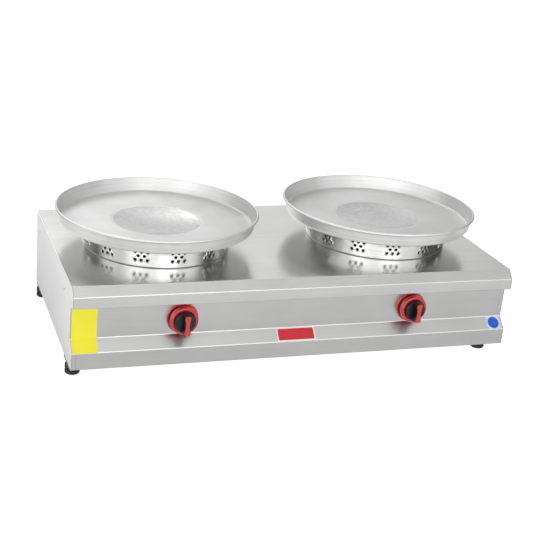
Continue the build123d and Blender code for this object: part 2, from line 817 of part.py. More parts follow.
    with BuildPart() as bezel:
        with BuildSketch(forward(x, panel_y, knob_z)):
            with BuildLine():
                Polyline(
                    (bezel_bore, 0),
                    (bezel_radius, 0),
                    (bezel_radius, bezel_thickness - knob_chamfer),
                    (bezel_radius - knob_chamfer, bezel_thickness),
                    (bezel_bore, bezel_thickness),
                    close=True,
                )
            make_face()
        revolve(axis=spindle_axis)
    write(bezel.part, f"bezel_{side}")

    # Injector: a hexagonal holder with its neck through the yoke, and the nozzle on the neck
    with BuildPart() as injector_holder:
        with BuildSketch(facing(burner_x, holder_end, venturi_z)):
            RegularPolygon(injector_hex, 6, major_radius=False)
        extrude(amount=injector_length)
        with BuildSketch(facing(burner_x, holder_end + yoke_plate + nozzle_length / 2, venturi_z)):
            Circle(neck_radius)
        extrude(amount=yoke_plate + nozzle_length / 2)
        with BuildSketch(Plane(origin=(burner_x, outlet_y, venturi_z))):
            RegularPolygon(outlet_hex, 6, major_radius=False)
        extrude(amount=-injector_hex - holder_stub)
        with BuildSketch(Plane(origin=(burner_x, outlet_y, venturi_z - injector_hex - holder_stub))):
            Circle(pipe_radius + running)
        extrude(amount=holder_stub, mode=Mode.SUBTRACT)
    write(injector_holder.part, f"injector_holder_{side}")

    with BuildPart() as injector:
        with BuildSketch(facing(burner_x, holder_end + yoke_plate + nozzle_length, venturi_z)):
            RegularPolygon(nozzle_hex, 6, major_radius=False)
        extrude(amount=nozzle_length)
        with BuildSketch(facing(burner_x, holder_end + yoke_plate + nozzle_length / 2, venturi_z)):
            Circle(neck_radius + running)
        extrude(amount=nozzle_length / 2, mode=Mode.SUBTRACT)
        with BuildSketch(facing(burner_x, holder_end + yoke_plate + nozzle_length, venturi_z)):
            RegularPolygon(nozzle_bore, 6)
        extrude(amount=nozzle_length, mode=Mode.SUBTRACT)
    write(injector.part, f"injector_{side}")

    pipe_low = knob_z + tap_radius + outlet_rise
    pipe_high = venturi_z - injector_hex - clear
    with BuildPart() as injector_pipe:
        with BuildLine() as route:
            FilletPolyline(
                (x, outlet_y, pipe_low),
                (x, outlet_y, pipe_low + pipe_radius - 1),
                (burner_x, outlet_y, pipe_high - holder_stub - pipe_radius + 1),
                (burner_x, outlet_y, pipe_high),
                radius=pipe_radius,
            )
        with BuildSketch(Plane(origin=(x, outlet_y, pipe_low))):
            Circle(pipe_radius)
        sweep(path=route.line)
    write(injector_pipe.part, f"injector_pipe_{side}")

    # Thermocouple: a probe beside the burner cap on a clip from the bowl, with its lead to the tap
    probe_x = burner_x - s * probe_circle
    probe_foot = cap_z - probe_length
    lead_y = burner_y - rail_width / 2 - 3 * lead_bend
    with BuildPart() as thermocouple:
        with Locations((probe_x, burner_y, probe_foot)):
            Cylinder(probe_radius, probe_length, align=(Align.CENTER, Align.CENTER, Align.MIN))
        with BuildLine() as lead:
            FilletPolyline(
                (probe_x, burner_y, probe_foot),
                (probe_x, burner_y, probe_foot - 1.3 * lead_bend),
                (probe_x, lead_y, probe_foot - 1.3 * lead_bend),
                (probe_x, lead_y, knob_z),
                (x, lead_y, knob_z),
                (x, tap_front + tap_length, knob_z),
                radius=lead_bend,
            )
        with BuildSketch(Plane(origin=(probe_x, burner_y, probe_foot), z_dir=(0, 0, -1))):
            RegularPolygon(lead_radius, 6)
        sweep(path=lead.line)
    write(thermocouple.part, f"thermocouple_{side}")

# Manifold: one pipe behind the control panel that turns back along the right side to the inlet
with BuildPart() as manifold:
    with BuildLine() as run:
        FilletPolyline(
            (-knob_pitch / 2 - manifold_end, tap_mid, manifold_z),
            (inlet_x, tap_mid, manifold_z),
            (inlet_x, rear_y - sheet - inlet_inside, manifold_z),
            radius=pipe_bend,
        )
    pipe_start = Plane(
        origin=(-knob_pitch / 2 - manifold_end, tap_mid, manifold_z), z_dir=(1, 0, 0)
    )
    with BuildSketch(pipe_start):
        Circle(manifold_radius)
    sweep(path=run.line)
    with BuildSketch(Plane.XY.offset(manifold_z)):
        with Locations(*((s * knob_pitch / 2, tap_mid) for _, s in pairs)):
            Circle(boss_radius)
    extrude(amount=boss_height)
    with BuildSketch(pipe_start):
        Circle(manifold_radius - manifold_wall)
    sweep(path=run.line, mode=Mode.SUBTRACT)
    with BuildSketch(Plane.XY.offset(manifold_z)):
        with Locations(*((s * knob_pitch / 2, tap_mid) for _, s in pairs)):
            Circle(tap_stub_radius + running)
    extrude(amount=boss_height, mode=Mode.SUBTRACT)
write(manifold.part, "manifold")

with BuildPart() as manifold_plug:
    with BuildSketch(pipe_start):
        RegularPolygon(end_plug_hex, 6, major_radius=False)
    extrude(amount=-end_plug_length)
    with BuildSketch(pipe_start):
        Circle(manifold_radius - manifold_wall - running)
    extrude(amount=end_plug_length)
write(manifold_plug.part, "manifold_plug")

# Gas inlet: a fitting through the back panel, with a hexagon inside, a nut outside and a thread
# for the gas hose past the nut
with BuildPart() as inlet_fitting:
    inlet_start = rear_y - sheet - inlet_inside - inlet_socket
    inlet_plane = Plane(origin=(inlet_x, inlet_start, manifold_z), x_dir=(-1, 0, 0), z_dir=(0, 1, 0))
    inlet_panel = inlet_plane.offset(inlet_socket + inlet_inside)
    with BuildSketch(inlet_plane):
        RegularPolygon(inlet_hex, 6, major_radius=False)
    extrude(amount=inlet_socket + inlet_inside)
    with BuildSketch(inlet_panel):
        Circle(inlet_body_radius)
    extrude(amount=sheet + inlet_hex_height + inlet_shoulder)
    with BuildSketch(inlet_panel):
        Circle(inlet_thread_radius)
    extrude(amount=sheet + inlet_reach)
    with BuildSketch(inlet_plane):
        Circle(manifold_radius + running)
    extrude(amount=inlet_socket, mode=Mode.SUBTRACT)
    with BuildSketch(inlet_plane):
        Circle(inlet_bore)
    extrude(amount=inlet_socket + inlet_inside + sheet + inlet_reach, mode=Mode.SUBTRACT)
write(inlet_fitting.part, "inlet_fitting")

with BuildPart() as inlet_nut:
    with BuildSketch(Plane(origin=(inlet_x, rear_y, manifold_z), x_dir=(-1, 0, 0), z_dir=(0, 1, 0))):
        RegularPolygon(inlet_hex, 6, major_radius=False)
        Circle(inlet_body_radius + running, mode=Mode.SUBTRACT)
    extrude(amount=inlet_hex_height)
write(inlet_nut.part, "inlet_nut")

# Rivets through the side panels
with BuildPart() as side_rivets:
    for _, s in pairs:
        for y, z in rivet_places:
            middle = Plane(origin=(s * width / 2, y, z), z_dir=(s, 0, 0))
            with BuildSketch(middle):
                Circle(rivet_radius)
            extrude(amount=-2 * sheet - screw_tail / 2)
            with BuildSketch(middle):
                Circle(rivet_head)
            extrude(amount=rivet_head_height, taper=35)
write(side_rivets.part, "side_rivets")

# Screws: four down through each ring's tabs into the worktop, three up through each side
# panel's flange into the base plate
with BuildPart() as ring_screws:
    with BuildSketch(Plane.XY.offset(worktop_z + ring_wall)):
        with Locations(*ring_screw_places):
            RegularPolygon(rivet_head, 6)
    extrude(amount=rivet_radius)
    with BuildSketch(Plane.XY.offset(worktop_z + ring_wall)):
        with Locations(*ring_screw_places):
            RegularPolygon(rivet_radius, 6)
    extrude(amount=-ring_wall - sheet - screw_tail)
write(ring_screws.part, "ring_screws")

with BuildPart() as base_screws:
    with BuildSketch(Plane.XY.offset(body_z)):
        with Locations(*base_screw_places):
            RegularPolygon(rivet_head, 6)
    extrude(amount=-rivet_radius)
    with BuildSketch(Plane.XY.offset(body_z)):
        with Locations(*base_screw_places):
            RegularPolygon(rivet_radius, 6)
    extrude(amount=2 * sheet + screw_tail)
write(base_screws.part, "base_screws")
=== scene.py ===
import math

import bmesh
import bpy
import numpy as np
from mathutils import Matrix, Vector


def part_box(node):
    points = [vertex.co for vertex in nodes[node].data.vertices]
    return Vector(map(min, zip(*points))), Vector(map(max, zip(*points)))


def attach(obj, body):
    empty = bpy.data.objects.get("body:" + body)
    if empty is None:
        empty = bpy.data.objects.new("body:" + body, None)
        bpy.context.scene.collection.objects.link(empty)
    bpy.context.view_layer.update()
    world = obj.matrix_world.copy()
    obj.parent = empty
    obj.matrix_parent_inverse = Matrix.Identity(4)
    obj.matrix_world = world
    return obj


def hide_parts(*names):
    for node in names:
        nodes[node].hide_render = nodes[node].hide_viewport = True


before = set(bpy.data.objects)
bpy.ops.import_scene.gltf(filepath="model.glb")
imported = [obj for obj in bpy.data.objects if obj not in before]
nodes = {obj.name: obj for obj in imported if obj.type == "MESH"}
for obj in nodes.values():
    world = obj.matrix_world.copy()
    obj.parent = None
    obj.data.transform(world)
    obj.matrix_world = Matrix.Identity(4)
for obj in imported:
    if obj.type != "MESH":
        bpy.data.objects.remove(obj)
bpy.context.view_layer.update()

# Folded body
# The worktop, front panel and back panel are 1.2 mm stainless sheet, brushed along the width
# before it is folded. White lines painted along the lip fold of the worktop and the two folds of
# the slope are painted highlights, for the light that these folds catch.


def start_group(name, inputs, outputs):
    """A new node group with named inputs and outputs, and its two end nodes."""
    group = bpy.data.node_groups.new(name, "ShaderNodeTree")
    for label, kind, start in inputs:
        socket = group.interface.new_socket(label, in_out="INPUT", socket_type=kind)
        if start is not None:
            socket.default_value = start
    for label, kind in outputs:
        group.interface.new_socket(label, in_out="OUTPUT", socket_type=kind)
    return group, group.nodes.new("NodeGroupInput"), group.nodes.new("NodeGroupOutput")


def noise_in(tree, vector, scale, detail, roughness=0.5):
    """Fractal noise on a vector, scaled."""
    noise = tree.nodes.new("ShaderNodeTexNoise")
    noise.inputs["Scale"].default_value = scale
    noise.inputs["Detail"].default_value = detail
    noise.inputs["Roughness"].default_value = roughness
    tree.links.new(vector, noise.inputs["Vector"])
    return noise.outputs["Fac"]


def math_in(tree, operation, first, second):
    """One Math node; each input is a socket or a number."""
    node = tree.nodes.new("ShaderNodeMath")
    node.operation = operation
    for socket, value in zip(node.inputs, (first, second)):
        if isinstance(value, (int, float)):
            socket.default_value = value
        else:
            tree.links.new(value, socket)
    return node.outputs[0]


def span_in(tree, value, low, high, to_low, to_high):
    """A value carried smoothly from one span to another."""
    node = tree.nodes.new("ShaderNodeMapRange")
    node.interpolation_type = "SMOOTHSTEP"
    numbers = {"From Min": low, "From Max": high, "To Min": to_low, "To Max": to_high}
    for label, number in numbers.items():
        node.inputs[label].default_value = number
    tree.links.new(value, node.inputs["Value"])
    return node.outputs["Result"]


def parts_of(tree, vector):
    """The X, Y and Z of a vector, as sockets."""
    split = tree.nodes.new("ShaderNodeSeparateXYZ")
    tree.links.new(vector, split.inputs["Vector"])
    return split.outputs


# Brushing: fine scratches and broad streaks along the stretched axis of the vector
brushing, start, end = start_group(
    "brushing",
    [("Vector", "NodeSocketVector", None)],
    [("Scratch", "NodeSocketFloat"), ("Streak", "NodeSocketFloat")],
)
fine = noise_in(brushing, start.outputs["Vector"], scale=1.0, detail=3.0, roughness=0.65)
broad = noise_in(brushing, start.outputs["Vector"], scale=0.09, detail=2.0)
brushing.links.new(fine, end.inputs["Scratch"])
brushing.links.new(broad, end.inputs["Streak"])

# Handling: soft cloudy marks left by wiping, the same all over the stove
handling, start, end = start_group(
    "handling", [("Vector", "NodeSocketVector", None)], [("Cloud", "NodeSocketFloat")]
)
cloud = noise_in(handling, start.outputs["Vector"], scale=9.0, detail=4.0, roughness=0.6)
handling.links.new(cloud, end.inputs["Cloud"])

# Fold line: 1 on a line at a given level of the value, falling to 0 over the half width
fold_line, start, end = start_group(
    "fold line",
    [("Value", "NodeSocketFloat", 0.0), ("Level", "NodeSocketFloat", 0.0),
     ("Half width", "NodeSocketFloat", 0.001)],
    [("Mask", "NodeSocketFloat")],
)
off_line = math_in(fold_line, "SUBTRACT", start.outputs["Value"], start.outputs["Level"])
off_line = math_in(fold_line, "ABSOLUTE", off_line, 0.0)
off_line = math_in(fold_line, "DIVIDE", off_line, start.outputs["Half width"])
mask = math_in(fold_line, "MAXIMUM", math_in(fold_line, "SUBTRACT", 1.0, off_line), 0.0)
fold_line.links.new(mask, end.inputs["Mask"])


def bare_material(name, color, metallic, roughness):
    """A Principled material with plain values, and its tree and shader."""
    material = bpy.data.materials.new(name)
    material.use_nodes = True
    shader = material.node_tree.nodes["Principled BSDF"]
    shader.inputs["Base Color"].default_value = (*color, 1.0)
    shader.inputs["Metallic"].default_value = metallic
    shader.inputs["Roughness"].default_value = roughness
    return material, material.node_tree, shader


def object_vector(tree, scale=(1.0, 1.0, 1.0), centre=(0.0, 0.0, 0.0)):
    """Object coordinates, moved so that centre is at zero and then scaled."""
    place = tree.nodes.new("ShaderNodeTexCoord")
    mapping = tree.nodes.new("ShaderNodeMapping")
    mapping.inputs["Scale"].default_value = scale
    mapping.inputs["Location"].default_value = [-c * s for c, s in zip(centre, scale)]
    tree.links.new(place.outputs["Object"], mapping.inputs["Vector"])
    return mapping.outputs["Vector"]


def use_group(tree, group, **values):
    """A node group placed in a tree, with its inputs given as sockets or numbers."""
    node = tree.nodes.new("ShaderNodeGroup")
    node.node_tree = group
    for label, value in values.items():
        socket = node.inputs[label.replace("_", " ")]
        if isinstance(value, (int, float)):
            socket.default_value = value
        else:
            tree.links.new(value, socket)
    return node


def shade_between(tree, factor, first, second):
    """A colour that runs from the first to the second with the factor; each is a socket or a
    plain colour."""
    mix = tree.nodes.new("ShaderNodeMix")
    mix.data_type = "RGBA"
    for label, shade in (("A", first), ("B", second)):
        if isinstance(shade, bpy.types.NodeSocket):
            tree.links.new(shade, mix.inputs[label])
        else:
            mix.inputs[label].default_value = (*shade, 1.0)
    tree.links.new(factor, mix.inputs["Factor"])
    return mix.outputs["Result"]


def raise_by(tree, shader, height, depth, strength):
    """Bump from a height socket, in metres of depth."""
    bump = tree.nodes.new("ShaderNodeBump")
    bump.inputs["Distance"].default_value = depth
    bump.inputs["Strength"].default_value = strength
    tree.links.new(height, bump.inputs["Height"])
    tree.links.new(bump.outputs["Normal"], shader.inputs["Normal"])


def lines_over(tree, shade, vector, axis, levels, half_width, color, strength):
    """A colour laid over a shade along lines at some levels of one axis, with the fold line's mask
    of the nearest line times the strength."""
    along = parts_of(tree, vector)[axis]
    mask = 0.0
    for level in levels:
        line = use_group(tree, fold_line, Value=along, Level=level, Half_width=half_width)
        mask = math_in(tree, "MAXIMUM", mask, line.outputs["Mask"])
    return shade_between(tree, math_in(tree, "MULTIPLY", mask, strength), shade, color)


def brushed_sheet(name, along, color, roughness, lines=()):
    """Brushed stainless sheet: scratches, streaks and cloudy marks are summed by their shares, and
    the sum turns the colour from dark to bright. along gives how fast the grain changes on X, Y
    and Z, and lines are laid over the colour."""
    material, tree, shader = bare_material(name, color, metallic=1.0, roughness=roughness)
    place = object_vector(tree)
    grain = use_group(tree, brushing, Vector=object_vector(tree, along))
    marks = use_group(tree, handling, Vector=place)
    scratch, cloud = grain.outputs["Scratch"], marks.outputs["Cloud"]
    streak = 0.0
    for pattern, share in ((scratch, 0.35), (grain.outputs["Streak"], 0.25), (cloud, 0.4)):
        streak = math_in(tree, "ADD", streak, math_in(tree, "MULTIPLY", pattern, share))
    bright = [min(c * 1.04, 1.0) for c in color]
    dark = [c * 0.96 for c in color]
    shade = shade_between(tree, span_in(tree, streak, 0.35, 0.65, 0.0, 1.0), dark, bright)
    for line in lines:
        shade = lines_over(tree, shade, place, **line)
    tree.links.new(shade, shader.inputs["Base Color"])
    by_grain = span_in(tree, scratch, 0.3, 0.7, roughness - 0.03, roughness + 0.03)
    by_hand = span_in(tree, cloud, 0.3, 0.7, -0.02, 0.03)
    tree.links.new(math_in(tree, "ADD", by_grain, by_hand), shader.inputs["Roughness"])
    raise_by(tree, shader, scratch, depth=0.00001, strength=0.25)
    return material


def dress(material, *names):
    """Gives CAD nodes their material, and takes away what they had."""
    for name in names:
        mesh = nodes[name].data
        mesh.materials.clear()
        mesh.materials.append(material)


# The front is an upright band, a 45 degree slope as deep as the panel is set back, and the panel
band_height = 0.0373
panel_setback = 0.0233
chamfer_drop = 0.0182
body_low, body_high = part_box("front_panel")
top_low, top_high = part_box("worktop")
slope_foot = body_low.z + band_height
slope_top = slope_foot + panel_setback
chamfer_foot = top_high.z - chamfer_drop
along_width = (6.0, 900.0, 900.0)
painted_highlight_white = (1.0, 1.0, 1.0)
dark_seam = (0.08, 0.08, 0.08)
seam_inset = 0.009
body_ends = (body_low.x, body_high.x)
inner_ends = (body_low.x + seam_inset, body_high.x - seam_inset)
end_seams = dict(axis="X", levels=body_ends, half_width=0.0016, color=dark_seam, strength=0.7)
# The worktop, front and back are one steel. Their different greys are painted light and shade: the worktop is
# lightest and the front darkest.
worktop_steel = brushed_sheet("worktop steel", along_width, (0.70, 0.70, 0.695), roughness=0.2, lines=[
    # Painted highlight: a white line along the lip fold.
    dict(axis="Z", levels=(chamfer_foot,), half_width=0.0013, color=painted_highlight_white, strength=0.3),
    end_seams,
])
front_steel = brushed_sheet("front steel", along_width, (0.62, 0.62, 0.615), roughness=0.33, lines=[
    # Painted highlights: white lines along both folds of the slope.
    dict(axis="Z", levels=(slope_top, slope_foot), half_width=0.0016, color=painted_highlight_white, strength=0.5),
    dict(axis="X", levels=inner_ends, half_width=0.0012, color=dark_seam, strength=0.25),
    end_seams,
])
back_steel = brushed_sheet("back steel", along_width, (0.66, 0.66, 0.655), roughness=0.3)
dress(worktop_steel, "worktop")
dress(front_steel, "front_panel")
dress(back_steel, "back_panel")

# Side panels
# Flat stainless sheets cut to the outline of the front, brushed from front to back, with two
# domed rivets in each. They are 1.2 mm thick. Their lighter grey is painted light, and a white
# line along their top edge is a painted highlight.
sheet = 0.0012
along_depth = (900.0, 6.0, 900.0)
side_steel = brushed_sheet("side steel", along_depth, (0.84, 0.84, 0.835), roughness=0.32, lines=[
    # Painted highlight: a white line along the top edge.
    dict(axis="Z", levels=(top_high.z - sheet / 2,), half_width=0.0012, color=painted_highlight_white, strength=0.7),
])
dress(side_steel, "side_panel_left", "side_panel_right")
rivet_steel, _, _ = bare_material("rivet steel", (0.6, 0.6, 0.6), metallic=1.0, roughness=0.25)
dress(rivet_steel, "side_rivets")

# Base, rail and brackets
# Galvanised sheet, bent and screwed under the body, with the large soft spangle of its zinc coat.
# The brackets that carry the feet are darker, and the small plated fixings are brighter.


def zinc_coat(name, color, roughness):
    """Dull zinc in cells: each cell's own chance value sets its grey, and another its roughness."""
    material, tree, shader = bare_material(name, color, metallic=1.0, roughness=roughness)
    cells = tree.nodes.new("ShaderNodeTexVoronoi")
    cells.inputs["Scale"].default_value = 90.0
    tree.links.new(object_vector(tree), cells.inputs["Vector"])
    chance = parts_of(tree, cells.outputs["Color"])
    dark, bright = [c * 0.86 for c in color], [min(1, c * 1.1) for c in color]
    tree.links.new(shade_between(tree, chance["X"], dark, bright), shader.inputs["Base Color"])
    tree.links.new(span_in(tree, chance["Y"], 0.0, 1.0, roughness - 0.08, roughness + 0.08),
                   shader.inputs["Roughness"])
    return material


dress(zinc_coat("galvanised sheet", (0.52, 0.53, 0.54), 0.45), "base_plate", "cross_rail")
dress(zinc_coat("bracket steel", (0.13, 0.13, 0.13), 0.5), "foot_brackets")
dress(zinc_coat("plated steel", (0.6, 0.6, 0.58), 0.3), "foot_nuts", "burner_bolts", "ring_screws",
      "base_screws", "manifold", "manifold_plug",
      "stud_front_left", "stud_front_right", "stud_rear_left", "stud_rear_right")

# Burners
# Each is a cast iron bowl with a sandy skin, bolted to the rail, and a slotted cap that lies on it
# and is blackened by heat.


def cast_iron(name, color, roughness):
    """Iron as cast: fine noise raises its sandy skin, and broad noise turns it from dark to rusty."""
    material, tree, shader = bare_material(name, color, metallic=0.6, roughness=roughness)
    vector = object_vector(tree)
    sand = noise_in(tree, vector, scale=700.0, detail=4.0, roughness=0.6)
    patches = noise_in(tree, vector, scale=40.0, detail=3.0)
    dark, rusty = [c * 0.7 for c in color], [c * more for c, more in zip(color, (1.5, 1.3, 1.2))]
    tree.links.new(shade_between(tree, patches, dark, rusty), shader.inputs["Base Color"])
    raise_by(tree, shader, sand, depth=0.0003, strength=0.5)
    return material


dress(cast_iron("burner iron", (0.10, 0.095, 0.09), 0.6), "burner_body_left", "burner_body_right")
dress(cast_iron("burner cap iron", (0.035, 0.035, 0.036), 0.55), "burner_cap_left", "burner_cap_right")

# Gas train
# Taps, injectors and inlet are turned from brass, with fine marks of the tool. The injector pipes
# and the thermocouples' leads are drawn copper, bent to their run, and the spindles ground steel.


def turned_metal(name, color, roughness):
    """Turned metal: noise fine in every direction raises the tool marks, and the cloudy marks
    turn the colour from tarnished to clean."""
    material, tree, shader = bare_material(name, color, metallic=1.0, roughness=roughness)
    vector = object_vector(tree)
    marks = use_group(tree, handling, Vector=vector)
    tarnished = [c * 0.75 for c in color]
    tree.links.new(shade_between(tree, marks.outputs["Cloud"], tarnished, color), shader.inputs["Base Color"])
    grain = use_group(tree, brushing, Vector=object_vector(tree, (1500.0, 1500.0, 1500.0)))
    raise_by(tree, shader, grain.outputs["Scratch"], depth=0.00004, strength=0.4)
    return material


dress(turned_metal("brass", (0.80, 0.60, 0.28), 0.28), "tap_body_left", "tap_body_right",
      "valve_plug_left", "valve_plug_right", "injector_left", "injector_right",
      "injector_holder_left", "injector_holder_right", "inlet_fitting", "inlet_nut")
dress(turned_metal("copper", (0.80, 0.42, 0.28), 0.32), "injector_pipe_left", "injector_pipe_right",
      "thermocouple_left", "thermocouple_right")
dress(turned_metal("ground steel", (0.7, 0.7, 0.7), 0.2), "spindle_left", "spindle_right")

# Rings
# Bright stainless strip, punched with groups of eight round holes, then rolled to a drum with its
# ends butted. Four tabs turned in at its foot are screwed to the worktop.
hole_radius = 0.0034
hole_pitch = 0.0131
row_pitch = 0.0088
rows_up = 0.0255
group_count = 13
strip_wall = 0.0015
ring_turns = {"left": math.radians(-86.9), "right": math.radians(-100.1)}
tab_reach = 0.0142
tab_width = 0.02
tab_gap = 0.0001

# The mesh has this many divisions to one pitch along the strip, and to one row up it
cells_across = 8
cells_up = 6


def mesh_from(name, points, faces, smooth_angle=35.0):
    """A mesh object from arrays of points and of faces, with its doubles merged, and shaded smooth
    except where its faces meet at more than the smooth angle."""
    mesh = bpy.data.meshes.new(name)
    mesh.from_pydata(points.tolist(), [], faces.tolist())
    work = bmesh.new()
    work.from_mesh(mesh)
    bmesh.ops.remove_doubles(work, verts=work.verts, dist=1e-6)
    bmesh.ops.dissolve_degenerate(work, edges=work.edges, dist=1e-7)
    work.to_mesh(mesh)
    work.free()
    mesh.shade_smooth()
    mesh.set_sharp_from_angle(angle=math.radians(smooth_angle))
    piece = bpy.data.objects.new(name, mesh)
    bpy.context.scene.collection.objects.link(piece)
    return piece


def face_outwards(piece):
    """Turns every face of a closed piece outwards."""
    work = bmesh.new()
    work.from_mesh(piece.data)
    bmesh.ops.recalc_face_normals(work, faces=work.faces)
    work.to_mesh(piece.data)
    work.free()
    return piece


def grid_faces(rows, columns):
    """Four-sided faces over a grid of rows by columns of points."""
    row, column = np.meshgrid(np.arange(rows - 1), np.arange(columns - 1), indexing="ij")
    first = (row * columns + column).ravel()
    return np.stack([first, first + 1, first + columns + 1, first + columns], axis=1)


def holed_cell(u, v, width, height, radius):
    """A flat rectangle round (u, v) with a round hole: each point runs straight from the hole's
    edge, at the same heading, to the rectangle's edge."""
    x = np.linspace(-0.5, 0.5, cells_across + 1)[:-1] * width
    y = np.linspace(-0.5, 0.5, cells_up + 1)[:-1] * height
    edge = np.concatenate([
        np.stack([x, np.full(cells_across, -height / 2)], 1),
        np.stack([np.full(cells_up, width / 2), y], 1),
        np.stack([-x, np.full(cells_across, height / 2)], 1),
        np.stack([np.full(cells_up, -width / 2), -y], 1),
    ])
    edge = np.concatenate([edge, edge[:1]])
    heading = np.arctan2(edge[:, 1], edge[:, 0])
    hole = radius * np.stack([np.cos(heading), np.sin(heading)], 1)
    outwards = np.array([0.0, 0.25, 1.0])[:, None, None]
    rows = hole + (edge - hole) * outwards
    return rows.reshape(-1, 2) + (u, v), grid_faces(len(rows), len(edge))


def plain_cell(u0, u1, v0, v1, columns, rows):
    """A flat rectangle divided evenly."""
    u, v = np.meshgrid(np.linspace(u0, u1, columns + 1), np.linspace(v0, v1, rows + 1))
    return np.stack([u, v], -1).reshape(-1, 2), grid_faces(rows + 1, columns + 1)


def punched_strip(radius, height):
    """One turn of the strip, flat: for each group, the cells with holes, three, two and three in
    its rows, and plain cells that fill the rest. Neighbours divide alike, so they weld."""
    group_length = 2 * math.pi * radius / group_count
    half_group = 1.5 * hole_pitch
    low, high = rows_up - 1.5 * row_pitch, rows_up + 1.5 * row_pitch
    cells = []
    for row, places in ((-1, (-1, 0, 1)), (0, (-0.5, 0.5)), (1, (-1, 0, 1))):
        level = rows_up + row * row_pitch
        cells += [holed_cell(p * hole_pitch, level, hole_pitch, row_pitch, hole_radius) for p in places]
    columns = max(2, round((group_length / 2 - half_group) / (hole_pitch / cells_across)))
    margin_rows = 4
    for side in (-1, 1):
        ends = sorted((side * hole_pitch, side * half_group))
        level = rows_up - row_pitch / 2
        cells.append(plain_cell(*ends, level, level + row_pitch, cells_across // 2, cells_up))
        ends = sorted((side * half_group, side * group_length / 2))
        for v0, v1, rows in ((0.0, low, margin_rows), (low, high, 3 * cells_up), (high, height, margin_rows)):
            cells.append(plain_cell(*ends, v0, v1, columns, rows))
    for v0, v1 in ((0.0, low), (high, height)):
        cells.append(plain_cell(-half_group, half_group, v0, v1, 3 * cells_across, margin_rows))
    points, faces, count = [], [], 0
    for group in range(group_count):
        for cell, quads in cells:
            points.append(cell + (group * group_length, 0.0))
            faces.append(quads + count)
            count += len(cell)
    return np.concatenate(points), np.concatenate(faces)


def rolled_strip(name, centre, radius, floor, height, turn):
    """The strip rolled to a drum: distance along it becomes the angle round the centre."""
    flat, faces = punched_strip(radius, height)
    angle = flat[:, 0] / radius + turn
    x = centre.x + radius * np.cos(angle)
    y = centre.y + radius * np.sin(angle)
    points = np.stack([x, y, floor + flat[:, 1]], 1)
    return mesh_from(name, points, faces)


def tab_plate(name, centre, radius, level, heading):
    """A small flat plate inside the drum: a grid of distance out by distance across the heading."""
    step = np.linspace(-0.5, 0.5, 5)
    out, aside = np.meshgrid(step, step, indexing="ij")
    outwards = np.array([math.cos(heading), math.sin(heading)])
    sideways = np.array([-outwards[1], outwards[0]])
    middle = radius - strip_wall - tab_reach / 2 - tab_gap
    flat = outwards * (middle + out[..., None] * tab_reach) + sideways * (aside[..., None] * tab_width)
    flat = flat.reshape(-1, 2) + (centre.x, centre.y)
    points = np.column_stack([flat, np.full(len(flat), level)])
    return mesh_from(name, points, grid_faces(len(step), len(step)))


def thicken(piece, thickness):
    """Gives a surface its wall, on the side away from its faces."""
    wall = piece.modifiers.new("wall", "SOLIDIFY")
    wall.thickness = thickness
    wall.offset = -1.0


def distance_from(tree, centre):
    """The distance from an upright axis: the length of X and Y, with Z scaled away."""
    length = tree.nodes.new("ShaderNodeVectorMath")
    length.operation = "LENGTH"
    tree.links.new(object_vector(tree, (1.0, 1.0, 0.0), centre), length.inputs[0])
    return length.outputs["Value"]


def rolled_steel(name, centre, radius):
    """Bright strip steel, with its grain round the drum, and its inside nearly black."""
    material, tree, shader = bare_material(name, (0.74, 0.74, 0.73), metallic=1.0, roughness=0.16)
    grain = use_group(tree, brushing, Vector=object_vector(tree, (30.0, 30.0, 1400.0), centre))
    marks = use_group(tree, handling, Vector=object_vector(tree))
    streak = span_in(tree, grain.outputs["Scratch"], 0.35, 0.65, 0.0, 1.0)
    bright = shade_between(tree, streak, (0.68, 0.68, 0.67), (0.80, 0.80, 0.79))
    inner, outer = radius - strip_wall, radius - strip_wall / 3
    outside = span_in(tree, distance_from(tree, centre), inner, outer, 0.0, 1.0)
    tree.links.new(shade_between(tree, outside, (0.03, 0.028, 0.026), bright), shader.inputs["Base Color"])
    tree.links.new(span_in(tree, marks.outputs["Cloud"], 0.3, 0.7, 0.12, 0.22), shader.inputs["Roughness"])
    raise_by(tree, shader, grain.outputs["Scratch"], depth=0.00002, strength=0.3)
    return material


for side in ("left", "right"):
    low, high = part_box(f"ring_{side}")
    centre = (low + high) / 2
    radius = (high.x - low.x) / 2
    steel = rolled_steel(f"ring steel {side}", centre, radius)
    ring = rolled_strip(f"drum_{side}", centre, radius, low.z, high.z - low.z, ring_turns[side])
    thicken(ring, strip_wall)
    ring.data.materials.append(steel)
    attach(ring, "stove_body")
    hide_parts(f"ring_{side}")
    for quarter in range(4):
        heading = math.radians(45 + 90 * quarter)
        tab = tab_plate(f"tab_{side}_{quarter}", centre, radius, low.z + strip_wall, heading)
        thicken(tab, strip_wall - tab_gap)
        tab.data.materials.append(steel)
        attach(tab, "stove_body")

# Pans
# Spun from 2 mm aluminium: a flat floor with a shallow dish in its middle, a leaning wall, and
# the rim rolled outwards over a wire. The spinning leaves fine rings all over.
pan_sheet = 0.002
pan_radius = 0.2265
dish_radius = 0.1
dish_depth = 0.01
floor_radius = 0.211
wall_lean_from = 0.215
foot_corner = 0.006
bead = 0.003
groove_drop = 0.0068

# Distances from the axis between which the painted shade comes in or goes out
wall_outside = (0.2200, 0.2208)
floor_near_wall = (0.17, 0.212)
end_of_floor = (0.2125, 0.2135)


def spun(name, profile, centre, segments):
    """A closed outline of radius and height carried round an upright axis: the radius times the
    cosine and the sine of the angle."""
    angle = np.linspace(0, 2 * np.pi, segments, endpoint=False)
    radius, height = profile[:, 0], profile[:, 1]
    points = np.stack([
        centre[0] + radius[:, None] * np.cos(angle),
        centre[1] + radius[:, None] * np.sin(angle),
        np.repeat(height[:, None], segments, 1),
    ], -1).reshape(-1, 3)
    row, column = np.meshgrid(np.arange(len(profile) - 1), np.arange(segments), indexing="ij")
    first, second = row * segments + column, row * segments + (column + 1) % segments
    faces = np.stack([first, second, second + segments, first + segments], -1)
    return face_outwards(mesh_from(name, points, faces.reshape(-1, 4), smooth_angle=40.0))


